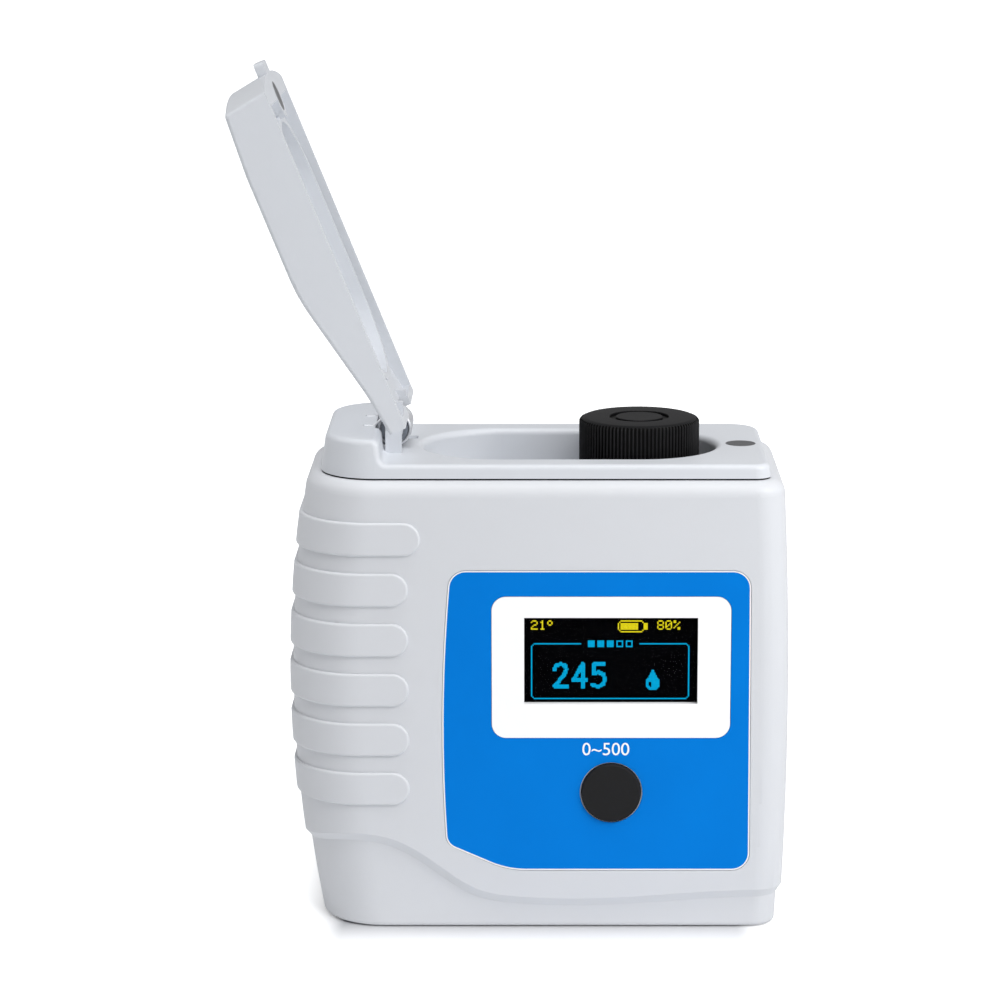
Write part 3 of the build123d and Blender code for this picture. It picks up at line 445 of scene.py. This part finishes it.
def batteryWrap(name, middle, sign):
    # middle is the cell's place along X, and sign the side of its positive end
    look = cellLook
    finish = Finish(name)
    along = (finish.axis("X") - middle * mm) * sign
    bare = maths("MAXIMUM", along > look["shoulder"] * mm, along < look["tail"] * mm)
    band = (along > look["bandFrom"] * mm) * (along < look["bandTo"] * mm)
    patch = finish.noise(look["patch"], 2.0)
    colour = finish.blend(band, tone(look["wrap"]), tone(look["band"]))
    colour = finish.blend(patch * look["patchShare"], colour, tone(look["ink"]))
    return finish.done(finish.skin(baseColor=finish.blend(bare, colour, tone(look["metal"])),
                                   metallic=maths("MAXIMUM", bare, band * 0.6),
                                   roughness=0.30 + patch * 0.12, normal=finish.bump(patch, 0.006)))


labelLook = {"colour": "0274CE", "cloudColour": "037CD8", "grain": 0.18, "cloud": 18.0, "roughness": 0.40,
             "gloss": 0.03, "relief": 0.004}


def labelSheet(name, look):
    # printed polycarbonate overlay with a velvet grain
    finish = Finish(name)
    grain = finish.noise(look["grain"], 2.0)
    cloud = finish.noise(look["cloud"], 2.0)
    colour = finish.blend(cloud, tone(look["colour"]), tone(look["cloudColour"]))
    return finish.done(finish.skin(baseColor=colour, roughness=look["roughness"] + (grain - 0.5) * 0.10,
                                   specularLevel=look["gloss"], normal=finish.bump(grain, look["relief"])))


panelLook = {"x": 14.36, "z": 56.45, "width": 34.9, "height": 17.8, "clear": 0.02, "dark": "020203",
             "ink": "FAFAFA", "inkLight": "FDFDFD"}


def windowSheet(name):
    # clear sheet with a white printed border round the display
    finish = Finish(name)
    beside = abs(finish.axis("X") - panelLook["x"] * mm) > panelLook["width"] / 2 * mm
    above = abs(finish.axis("Z") - panelLook["z"] * mm) > panelLook["height"] / 2 * mm
    border = maths("MAXIMUM", beside, above)
    ink = finish.noise(0.3, 2.0)
    white = finish.blend(ink, tone(panelLook["ink"]), tone(panelLook["inkLight"]))
    colour = finish.blend(border, tone(panelLook["dark"]), white)
    return finish.done(finish.skin(baseColor=colour, roughness=0.16 + ink * 0.06,
                                   alpha=border * (1 - panelLook["clear"]) + panelLook["clear"],
                                   specularLevel=0.35, normal=finish.bump(ink, 0.002)))


def displayGlass(name):
    # the unlit face of the display
    finish = Finish(name)
    film = finish.noise(4.0, 2.0)
    colour = finish.blend(film, tone("020203"), tone("050507"))
    return finish.done(finish.skin(baseColor=colour, roughness=0.25 + film * 0.08, specularLevel=0.0))


mouldedGrey = mouldedPlastic("mouldedGrey", housingLook)
deckGrey = mouldedPlastic("deckGrey", deckLook)
mouldedBlack = mouldedPlastic("mouldedBlack", blackLook)
bushGrey = mouldedPlastic("bushGrey", bushLook)
buttonRubber = mouldedPlastic("buttonRubber", rubberLook)
gasketRubber = mouldedPlastic("gasketRubber", gasketLook)
linerFoam = mouldedPlastic("linerFoam", linerLook)
brightSteel = sheetMetal("brightSteel", "B4B5B8", 0.30, (1, 4, 1))
springSteel = sheetMetal("springSteel", "D6D8DC", 0.34, (1, 1, 1), metallic=0.5)
nickel = sheetMetal("nickel", "8A8B90", 0.34, (1, 1, 1), 0.4)
vialGlass = clearGlass("vialGlass", "F7FBFB", 0.01, 1.50)
resin = clearGlass("resin", "EAF1F8", 0.05, 1.53)
circuitGreen = circuitBoard("circuitGreen")
labelBlue = labelSheet("labelBlue", labelLook)
windowClear = windowSheet("windowClear")
displayBlack = displayGlass("displayBlack")

dress(mouldedGrey, "body_shell", "rear_cover", "battery_door")
dress(deckGrey, "top_cover", "lid")
dress(mouldedBlack, "chamber_front", "chamber_rear", "display_frame", "button_switch")
dress(bushGrey, "spring_bush")
dress(buttonRubber, "power_button")
dress(gasketRubber, "top_gasket", "door_seal", "button_boot")
dress(linerFoam, "cap_liner")
dress(nickel, "lid_magnet", "deck_magnet")
dress(brightSteel, "hinge_pin", "contact_bridge", "contact_positive", "contact_negative",
      *[name for name in nodes if "screw" in name])
dress(vialGlass, "sample_vial", "lamp_window", "sensor_window")
dress(resin, "lamp", "sensor")
dress(circuitGreen, "main_board", "lamp_board", "sensor_board")
dress(displayBlack, "display_module")
dress(windowClear, "window_panel")
dress(labelBlue, "front_label")
dress(batteryWrap("wrapUpper", 0.0, 1.0), "cell_upper")
dress(batteryWrap("wrapLower", -3.0, -1.0), "cell_lower")
print("materials on the frame's own pieces")


# Vial cap with its knurled side

capLook = {"x": 20.5, "bottom": 89.1, "top": 101.7, "core": 11.93, "outer": 12.34, "bore": 11.0, "roof": 1.6,
           "foot": 0.3, "slope": 0.75, "shoulder": ((0.22, 0.28), (0.62, 0.06), (1.1, 0)),
           "ringOuter": 6.1, "ringOuterEdge": (0.12, 0.1), "ringInner": 4.85, "ringInnerEdge": (0.14, 0.12),
           "ringDepth": 0.5, "ridges": 96, "ridgeWidth": 0.50, "ridgeRoot": 0.15, "ridgeFoot": 0.02,
           "ridgeEnds": (0.3, 0.45), "ridgeShares": (0.75, 0.35)}
# on the knurled side, the gap colour is painted shade between the ridges and the crest colour a painted
# highlight on them
capPaint = {"gap": "020202", "crest": "242426", "face": "0F0F11", "faceEdge": 0.4, "highlightFrom": 0.05,
            "patch": 1.2, "patchLift": 0.4, "grain": 0.22, "relief": 0.008, "roughness": 0.40, "gloss": 0.14}


def ridgeMesh(look):
    # one rounded bar that runs up the side of the cap and slopes in at its top
    inner = look["core"] - look["ridgeRoot"]
    proud = look["outer"] - inner
    half = look["ridgeWidth"] / 2
    rise = [(0, 1), (0.55, 0.82), (0.9, 0.42)]
    section = [(proud * out, -half * side) for out, side in rise] + [(proud, 0)]
    section += [(proud * out, half * side) for out, side in reversed(rise)]
    low = look["bottom"] + look["ridgeFoot"]
    high = look["top"] - look["slope"]
    levels = [(low, look["ridgeShares"][0]), (low + look["ridgeEnds"][0], 1.0), (high, 1.0),
              (high + look["ridgeEnds"][1], look["ridgeShares"][1])]
    verts = []
    for height, share in levels:
        verts += [((inner + out * share) * mm, side * mm, height * mm) for out, side in section]
    count = len(section)
    faces = []
    for level in range(len(levels) - 1):
        low = level * count
        for step in range(count):
            following = (step + 1) % count
            faces.append((low + step, low + following, low + count + following, low + count + step))
    faces.append(range(count - 1, -1, -1))
    faces.append(range((len(levels) - 1) * count, len(levels) * count))
    return meshOf("capRidge", verts, faces)


def capPlastic(look, paint):
    # black plastic with a painted highlight on the knurl's crests, broken up at random, and painted shade in
    # the grooves between them
    finish = Finish("capPlastic")
    across = finish.axis("X") - look["x"] * mm
    depth = finish.axis("Y")
    radius = maths("SQRT", across * across + depth * depth)
    crestHighlightMask = finish.node("ShaderNodeMapRange", None, {0: radius, 1: (look["core"] + paint["highlightFrom"]) * mm,
                                                      2: look["outer"] * mm})
    patch = finish.noise(paint["patch"], 3.0)
    roof = finish.axis("Z") > (look["top"] - paint["faceEdge"]) * mm
    side = finish.blend(crestHighlightMask * (patch + paint["patchLift"]), tone(paint["gap"]), tone(paint["crest"]))
    grain = finish.noise(paint["grain"], 2.0)
    return finish.done(finish.skin(baseColor=finish.blend(roof, side, tone(paint["face"])),
                                   roughness=paint["roughness"] + grain * 0.10, specularLevel=paint["gloss"],
                                   normal=finish.bump(grain, paint["relief"])))


def buildCap():
    look = capLook
    bottom, top, core, bore = [look[key] for key in ("bottom", "top", "core", "bore")]
    outer, inner, sunk = look["ringOuter"], look["ringInner"], top - look["ringDepth"]
    profile = [(bore, bottom), (core - look["foot"], bottom), (core, bottom + look["foot"]),
               (core, top - look["slope"])]
    profile += [(core - inset, top - drop) for inset, drop in look["shoulder"]]
    # the sunk ring on the roof, and the underside of the roof
    outerIn, outerDown = look["ringOuterEdge"]
    innerIn, innerDown = look["ringInnerEdge"]
    profile += [(outer + outerIn, top), (outer, top - outerDown), (outer, sunk), (inner, sunk),
                (inner, top - innerDown), (inner - innerIn, top), (0, top), (0, top - look["roof"]),
                (bore, top - look["roof"])]
    turned = lathe("capCore", profile, look["ridges"] * 2, look["x"])
    ridge = bpy.data.objects.new("capRidge", ridgeMesh(look))
    growth = Growth("knurledSide", {"ridgeCount": look["ridges"], "middle": look["x"] * mm,
                                    "ridge": ridge, "plastic": capPlastic(look, capPaint)})
    spots = growth.node("GeometryNodeMeshLine", {"mode": "OFFSET"},
                        {"Count": growth.given("ridgeCount"), "Offset": (0, 0, 0)})
    turn = growth.node("GeometryNodeInputIndex") * (2 * math.pi) / growth.given("ridgeCount")
    bar = growth.node("GeometryNodeObjectInfo", None, {"Object": growth.given("ridge")}, out="Geometry")
    ridges = growth.node("GeometryNodeInstanceOnPoints", None,
                         {"Points": spots, "Instance": bar, "Rotation": growth.vector(0, 0, turn)})
    ridges = growth.node("GeometryNodeTransform", None,
                         {"Geometry": ridges, "Translation": growth.vector(growth.given("middle"), 0, 0)})
    whole = growth.join(Wire(growth, growth.entry.outputs["Geometry"]), ridges)
    cap = growth.grow("knurledCap", turned, whole, growth.given("plastic"))
    smooth(cap.data)
    settle(cap, "cap", "black_plastic", "vial_cap")
    bpy.data.objects.remove(ridge)


buildCap()
print("vial cap turned and knurled")


# Spring of the lid

springLook = {"x": -29.6, "z": 100.0, "radius": 3.2, "wire": 0.35, "turns": 7.0, "half": 5.1,
              "legTurn": 127.0, "footX": -33.8, "endX": -35.7, "legZ": 100.52, "bend": 0.8,
              "steps": 28, "bendSteps": 6, "wireSides": 10}


def buildSpring():
    # two mirrored halves, each a close coil with a leg that bends flat onto the hinge block
    look = springLook
    turn = math.radians(look["legTurn"])
    start = (look["x"] + look["radius"] * math.cos(turn), look["z"] + look["radius"] * math.sin(turn))
    route = [start, (look["footX"], look["legZ"]), (look["endX"], look["legZ"])]
    seed = meshOf("lidSpringSeed", [(x * mm, -look["half"] * mm, z * mm) for x, z in route],
                  edges=[(0, 1), (1, 2)])
    growth = Growth("lidSpring", {"coilRadius": look["radius"] * mm, "wireRadius": look["wire"] * mm,
                                  "turns": look["turns"], "steps": look["steps"], "bend": look["bend"] * mm,
                                  "length": look["half"] * mm, "steel": springSteel})
    radius = growth.given("coilRadius")
    coil = growth.node("GeometryNodeCurveSpiral", None,
                       {"Resolution": growth.given("steps"), "Rotations": growth.given("turns"),
                        "Start Radius": radius, "End Radius": radius, "Height": growth.given("length")})
    coil = growth.node("GeometryNodeTransform", None, {"Geometry": coil, "Rotation": (0, 0, -turn)})
    coil = growth.node("GeometryNodeTransform", None,
                       {"Geometry": coil, "Rotation": (-math.pi / 2, 0, 0),
                        "Translation": (look["x"] * mm, -look["half"] * mm, look["z"] * mm)})
    leg = growth.node("GeometryNodeMeshToCurve", None, {"Mesh": growth.given("Geometry")})
    leg = growth.node("GeometryNodeFilletCurve", {"mode": "POLY"},
                      {"Curve": leg, "Count": look["bendSteps"], "Radius": growth.given("bend")})
    half = growth.join(coil, leg)
    mirrored = growth.node("GeometryNodeTransform", None, {"Geometry": half, "Scale": (1, -1, 1)})
    section = growth.node("GeometryNodeCurvePrimitiveCircle", None,
                          {"Resolution": look["wireSides"], "Radius": growth.given("wireRadius")})
    wire = growth.node("GeometryNodeCurveToMesh", None,
                       {"Curve": growth.join(half, mirrored), "Profile Curve": section, "Fill Caps": True})
    spring = growth.grow("lidSpring", seed, wire, growth.given("steel"))
    smooth(spring.data)
    settle(spring, "base", "steel", "torsion_spring")


buildSpring()
print("lid spring wound")


# Display picture, dot by dot

displayLook = {"left": -3.09, "top": 65.35, "columns": 128, "rows": 64, "width": 34.9, "height": 17.8,
               "front": -24.05, "thickness": 0.03, "fill": 0.90, "yellow": "F5E61E", "cyan": "00B4EB",
               "dark": "050505", "patch": 0.9, "darker": 0.94}
# places in dots, as column and row from the top left, and sizes as columns and rows
pictureLook = {"leftText": ("21°", 5, 3), "rightText": ("80%", 98, 3), "reading": ("245", 21, 34),
               "battery": (69, 3, 88, 11), "knob": (89, 5, 2, 5), "charge": (71, 5, 13, 5),
               "frame": (5, 20, 121, 61), "frameGap": (41, 85), "marks": 5, "marksFull": 3,
               "markPlace": (47, 18), "markPitch": 7, "markSide": 5, "drop": (88, 38, 14, 18),
               "dropMiddle": (94.5, 49.5), "dropRadius": 5.2, "dropSlope": 0.47, "glintRadius": 3.4,
               "glintCorner": (93.5, 48), "smallPitch": 6, "bigPitch": 14, "bigSize": (12, 20),
               "bigPen": 1.45}
smallGlyphs = {
    "0": "01110 10001 10011 10101 11001 10001 01110",
    "1": "00100 01100 00100 00100 00100 00100 01110",
    "2": "01110 10001 00001 00110 01000 10000 11111",
    "8": "01110 10001 10001 01110 10001 10001 01110",
    "°": "01100 10010 10010 01100 00000 00000 00000",
    "%": "11000 11001 00010 00100 01000 10011 00011",
}
bigStrokes = {
    "2": [(1.5, 5.5), (2.6, 2.6), (6, 1.6), (9.4, 2.8), (10.2, 5.6), (9.2, 8.6), (1.6, 18.4), (10.6, 18.4)],
    "4": [(8.2, 19), (8.2, 1.6), (1.5, 13.6), (11, 13.6)],
    "5": [(10, 1.6), (2.8, 1.6), (2.2, 8.8), (6, 7.8), (9.6, 9.4), (10.5, 13), (9.4, 16.8), (6, 18.5),
          (1.6, 17.2)],
}


def block(column, row, columns, rows):
    return [(column + c, row + r) for c in range(columns) for r in range(rows)]


def smallText(text, column, row):
    dots = []
    for place, letter in enumerate(text):
        left = column + pictureLook["smallPitch"] * place
        for down, line in enumerate(smallGlyphs[letter].split()):
            dots += [(left + across, row + down) for across, on in enumerate(line) if on == "1"]
    return dots


def nearStroke(point, stroke, reach):
    for (x1, y1), (x2, y2) in zip(stroke, stroke[1:]):
        run = (x2 - x1) ** 2 + (y2 - y1) ** 2
        share = max(0, min(1, ((point[0] - x1) * (x2 - x1) + (point[1] - y1) * (y2 - y1)) / run))
        if math.hypot(point[0] - x1 - share * (x2 - x1), point[1] - y1 - share * (y2 - y1)) <= reach:
            return True
    return False


def bigText(text, column, row):
    dots = []
    for place, letter in enumerate(text):
        left = column + pictureLook["bigPitch"] * place
        dots += [(left + across, row + down) for across, down in block(0, 0, *pictureLook["bigSize"])
                 if nearStroke((across + 0.5, down + 0.5), bigStrokes[letter], pictureLook["bigPen"])]
    return dots


def outline(left, top, right, bottom, gap=None):
    # one dot wide, with its corners cut, and open along gap on its top side
    dots = [(c, bottom) for c in range(left + 2, right - 1)]
    dots += [(c, top) for c in range(left + 2, right - 1) if not gap or not gap[0] < c < gap[1]]
    dots += [(c, r) for r in range(top + 2, bottom - 1) for c in (left, right)]
    return dots + [(c, r) for r in (top + 1, bottom - 1) for c in (left + 1, right - 1)]


def yellowDots():
    look = pictureLook
    return (smallText(*look["leftText"]) + smallText(*look["rightText"]) + outline(*look["battery"])
            + block(*look["knob"]) + block(*look["charge"]))


def levelMarks():
    # the last ones are hollow
    look = pictureLook
    side = look["markSide"]
    ends = (0, side - 1)
    dots = []
    for step in range(look["marks"]):
        left = look["markPlace"][0] + look["markPitch"] * step
        dots += [(left + c, look["markPlace"][1] + r) for c, r in block(0, 0, side, side)
                 if step < look["marksFull"] or c in ends or r in ends]
    return dots


def dropDots():
    # a round drop with a pointed tip and a glint at its lower left
    look = pictureLook
    column, row = look["dropMiddle"]
    tip = look["drop"][1]
    dots = []
    for c, r in block(*look["drop"]):
        away = math.hypot(c - column, r - row)
        inside = away < look["dropRadius"] or (r < row and abs(c - column) < (r - tip) * look["dropSlope"])
        glint = away < look["glintRadius"] and c < look["glintCorner"][0] and r > look["glintCorner"][1]
        if inside and not glint:
            dots.append((c, r))
    return dots


def cyanDots():
    look = pictureLook
    frameDots = outline(*look["frame"], gap=look["frameGap"])
    return frameDots + bigText(*look["reading"]) + levelMarks() + dropDots()


def buildDots(name, dots, colour):
    look = displayLook
    pitchX = look["width"] / look["columns"]
    pitchZ = look["height"] / look["rows"]
    finish = Finish(name + "Glow")
    patch = finish.noise(look["patch"], 1.0)
    glow = finish.blend(patch, tone(colour), shaded(tone(colour), look["darker"]))
    material = finish.done(finish.skin(baseColor=tone(look["dark"]), roughness=0.5, specularLevel=0.0,
                                       emissionColor=glow, emissionStrength=1.0))
    front = (look["front"] - look["thickness"] / 2) * mm
    points = [((look["left"] + (c + 0.5) * pitchX) * mm, front, (look["top"] - (r + 0.5) * pitchZ) * mm)
              for c, r in dots]
    growth = Growth(name, {"dotWidth": pitchX * look["fill"] * mm, "dotHeight": pitchZ * look["fill"] * mm,
                           "dotDepth": look["thickness"] * mm, "light": material})
    dot = growth.node("GeometryNodeMeshCube", None,
                      {"Size": growth.vector(growth.given("dotWidth"), growth.given("dotDepth"),
                                             growth.given("dotHeight"))})
    picture = growth.node("GeometryNodeInstanceOnPoints", None,
                          {"Points": Wire(growth, growth.entry.outputs["Geometry"]), "Instance": dot})
    piece = growth.grow(name, meshOf(name + "Seed", points), picture, growth.given("light"))
    settle(piece, "base", "display")


buildDots("displayYellow", yellowDots(), displayLook["yellow"])
buildDots("displayCyan", cyanDots(), displayLook["cyan"])
print("display picture lit")


# Printing and a painted edge highlight on the blue label

# rim and rimInk give the width and colour of the painted edge highlight round the label
printLook = {"text": "0~500", "x": 13.4, "z": 37.9, "size": 3.75, "y": -25.45, "thickness": 0.02,
             "rim": 0.26, "ink": "FBFBF6", "rimInk": "F8F6F2", "patch": 0.25, "darker": 0.96,
             "roughness": 0.42, "gloss": 0.3}


# ink for the printed range and for the painted edge highlight
def printAndHighlightInk(name, colour):
    look = printLook
    finish = Finish(name)
    patch = finish.noise(look["patch"], 2.0)
    shade = finish.blend(patch, tone(colour), shaded(tone(colour), look["darker"]))
    return finish.done(finish.skin(baseColor=shade, roughness=look["roughness"] + patch * 0.08,
                                   specularLevel=look["gloss"]))


def buildRange():
    look = printLook
    curve = bpy.data.curves.new("rangeText", "FONT")
    curve.body = look["text"]
    curve.align_x = "CENTER"
    curve.align_y = "CENTER"
    curve.size = look["size"] * mm
    curve.extrude = look["thickness"] / 2 * mm
    words = bpy.data.objects.new("rangeText", curve)
    scene.collection.objects.link(words)
    bpy.context.view_layer.update()
    seen = words.evaluated_get(bpy.context.evaluated_depsgraph_get())
    meshData = bpy.data.meshes.new_from_object(seen)
    bpy.data.objects.remove(words)
    turn = Matrix.Rotation(math.pi / 2, 4, "X")
    place = Matrix.Translation((look["x"] * mm, (look["y"] - look["thickness"] / 2) * mm, look["z"] * mm))
    meshData.transform(place @ turn)
    piece = addPiece("rangePrint", meshData, printAndHighlightInk("rangeInk", look["ink"]))
    settle(piece, "base", "label")


def ringLength(loop):
    return sum((a - b).length for a, b in zip(loop, loop[1:] + loop[:1]))


def frontOutline(nodeName):
    # the longest outline of the faces that look to the front
    work = bmesh.new()
    work.from_mesh(nodes[nodeName].data)
    bmesh.ops.remove_doubles(work, verts=work.verts, dist=1e-6)
    work.normal_update()
    facing = -0.99
    front = {face for face in work.faces if face.normal.y < facing}
    following = {}
    for edge in work.edges:
        if len([face for face in edge.link_faces if face in front]) == 1:
            for vert in edge.verts:
                following.setdefault(vert, []).append(edge.other_vert(vert))
    loops = []
    waiting = dict.fromkeys(following)
    while waiting:
        start = next(iter(waiting))
        loop = [start]
        ahead = following[start][0]
        while ahead is not start:
            loop.append(ahead)
            ahead = [vert for vert in following[ahead] if vert is not loop[-2]][0]
        for vert in loop:
            waiting.pop(vert, None)
        loops.append([Vector((vert.co.x, vert.co.z)) for vert in loop])
    work.free()
    return max(loops, key=ringLength)


def buildLabelEdgeHighlight():
    # a painted highlight: a thin light band just inside the label's edge
    look = printLook
    loop = frontOutline("front_label")
    area = sum(a.x * b.y - b.x * a.y for a, b in zip(loop, loop[1:] + loop[:1]))
    if area < 0:
        loop.reverse()
    count = len(loop)
    inner = []
    for index, point in enumerate(loop):
        along = (loop[(index + 1) % count] - point).normalized() + (point - loop[index - 1]).normalized()
        along.normalize()
        inner.append(point + Vector((-along.y, along.x)) * look["rim"] * mm)
    back = look["y"] * mm
    front = (look["y"] - look["thickness"]) * mm
    verts = [(p.x, y, p.y) for ring, y in ((loop, front), (inner, front), (inner, back), (loop, back))
             for p in ring]
    faces = []
    for ring in range(4):
        low = ring * count
        high = (ring + 1) % 4 * count
        faces += [(low + i, low + (i + 1) % count, high + (i + 1) % count, high + i) for i in range(count)]
    piece = addPiece("labelRim", meshOf("labelRim", verts, faces), printAndHighlightInk("rimInk", look["rimInk"]))
    settle(piece, "base", "label")


buildRange()
buildLabelEdgeHighlight()
print("label printed")


# Water in the vial

waterLook = {"x": 20.5, "bottom": 43.36, "level": 83.0, "radius": 10.84, "corner": 0.9, "cornerShare": 0.3,
             "meniscus": ((0, 0.5), (0.5, 0.15), (1.4, 0)), "segments": 64, "colour": "EEF3E6", "ior": 1.33}


def buildWater():
    look = waterLook
    bottom, radius, corner = look["bottom"], look["radius"], look["corner"]
    cut = corner * look["cornerShare"]
    profile = [(0, bottom), (radius - corner, bottom), (radius - cut, bottom + cut),
               (radius, bottom + corner)]
    profile += [(radius - inset, look["level"] + rise) for inset, rise in look["meniscus"]]
    profile.append((0, look["level"]))
    water = addPiece("waterSample", lathe("waterSample", profile, look["segments"], look["x"]),
                     clearGlass("water", look["colour"], 0.0, look["ior"]))
    settle(water, "vial", "glass")


buildWater()
print("vial filled")
